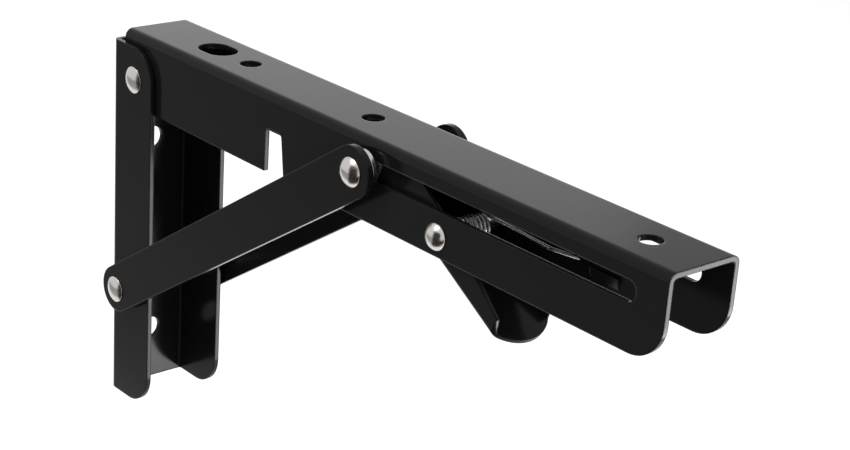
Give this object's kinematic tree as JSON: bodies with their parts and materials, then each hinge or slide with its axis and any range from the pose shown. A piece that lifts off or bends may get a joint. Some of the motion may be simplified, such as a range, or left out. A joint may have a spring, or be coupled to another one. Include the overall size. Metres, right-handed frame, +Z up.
{
  "type": "drop leaf table bracket",
  "caption": "Folding steel shelf bracket: a channel rail hinged on a wall plate, held level by a slotted strut linkage with a sprung locking lever.",
  "frame": {"origin": "midway between the two wall screw holes, on the back of the wall plate", "axes": "+X away from the wall along the shelf rail, +Z up, +Y to the right side"},
  "size_m": [0.3054, 0.0534, 0.162],
  "materials": {
    "black_paint": "semi-gloss black paint",
    "nickel_plate": "bright nickel plate",
    "dark_spring_wire": "dark drawn wire"
  },
  "bodies": {
    "wall_bracket": {"wall_plate": "black_paint", "upper_pivot_rivet": "nickel_plate", "lower_pivot_rivet": "nickel_plate", "pivot_spacer_left": "nickel_plate", "pivot_spacer_right": "nickel_plate"},
    "rail": {"shelf_rail": "black_paint", "lever_rivet": "nickel_plate", "torsion_spring": "dark_spring_wire"},
    "strut": {"strut_arm_left": "black_paint", "strut_arm_right": "black_paint", "strut_rivet_left": "nickel_plate", "strut_rivet_right": "nickel_plate"},
    "slide": {"slot_pin": "nickel_plate", "slot_bush_left": "nickel_plate", "slot_bush_right": "nickel_plate"},
    "lever": {"lock_lever": "black_paint"}
  },
  "joints": [
    {"name": "rail_fold", "type": "hinge", "parent": "wall_bracket", "child": "rail", "pos_m": [0.0156, 0, 0.0758], "axis": [0, 1, 0], "range_deg": [0, 90]},
    {"name": "strut_swing", "type": "hinge", "parent": "wall_bracket", "child": "strut", "pos_m": [0.0118, 0, -0.0166], "axis": [0, 1, 0], "range_deg": [0, 119.87]},
    {"name": "pin_slide", "type": "slide", "parent": "rail", "child": "slide", "axis": [1, 0, 0], "range_m": [0, 0.12597]},
    {"name": "lever_release", "type": "hinge", "parent": "rail", "child": "lever", "pos_m": [0.201, 0, 0.0707], "axis": [0, -1, 0], "range_deg": [0, 30], "stiffness_Nm_per_rad": 0.17, "springref_deg": -20.05, "deforming": ["torsion_spring"]}
  ],
  "couplings": [
    {"joint": "strut_swing", "follows": "rail_fold", "ratio": 1.3317},
    {"joint": "pin_slide", "follows": "rail_fold", "m_per_rad": 0.080183}
  ]
}
